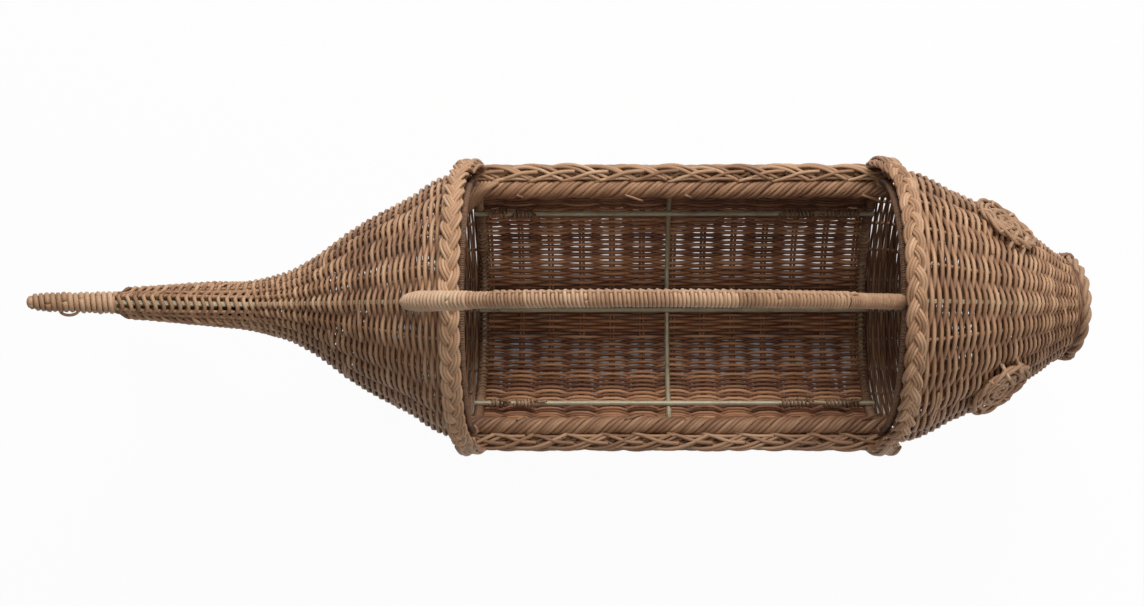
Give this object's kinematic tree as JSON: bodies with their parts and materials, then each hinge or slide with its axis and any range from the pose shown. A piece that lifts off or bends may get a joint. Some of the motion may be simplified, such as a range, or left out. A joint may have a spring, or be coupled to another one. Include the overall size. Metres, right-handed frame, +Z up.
{
  "type": "fish-shaped wicker basket",
  "caption": "Fish-shaped wicker basket: open trough between two oval hoops, hollow woven head and finned tail, arched cane-wrapped carrying bar.",
  "frame": {"origin": "on the ground under the middle of the basket's length and width", "axes": "+X from the tail to the mouth, +Y to the fish's left, +Z up"},
  "size_m": [0.7682, 0.2316, 0.3551],
  "materials": {
    "woven_cane": "natural cane, satin",
    "pale_cane": "natural cane, satin, paler",
    "dark_cane": "natural cane, satin, darker",
    "painted_wire": "cream paint on round wire"
  },
  "bodies": {
    "root": {"trough_weave": "woven_cane", "head_weave": "woven_cane", "tail_weave": "woven_cane", "head_hoop": "painted_wire", "tail_hoop": "painted_wire", "mouth_hoop": "painted_wire", "mid_rib": "painted_wire", "keel_wire": "painted_wire", "left_chine_wire": "painted_wire", "right_chine_wire": "painted_wire", "left_rim_wire": "painted_wire", "right_rim_wire": "painted_wire", "head_ridge_wire": "painted_wire", "head_belly_wire": "painted_wire", "tail_ridge_wire": "painted_wire", "tail_belly_wire": "painted_wire", "left_rope_rim": "woven_cane", "right_rope_rim": "woven_cane", "left_plait_border": "woven_cane", "right_plait_border": "woven_cane", "head_ring_braid": "pale_cane", "tail_ring_braid": "pale_cane", "head_hoop_wrap": "dark_cane", "tail_hoop_wrap": "dark_cane", "bar_core": "painted_wire", "bar_wrap": "pale_cane", "bar_lacing": "pale_cane", "bar_knob_wrap": "pale_cane", "bar_head_wrap": "pale_cane", "left_eye": "pale_cane", "right_eye": "pale_cane", "lip_ring": "dark_cane", "left_lip_tie": "dark_cane", "right_lip_tie": "dark_cane", "fin_edge_binding": "pale_cane", "upper_horn": "pale_cane", "upper_horn_wrap": "pale_cane", "lower_horn": "pale_cane", "lower_horn_wrap": "pale_cane", "left_rear_binding": "dark_cane", "left_front_binding": "dark_cane", "right_rear_binding": "dark_cane", "right_front_binding": "dark_cane"}
  },
  "joints": []
}
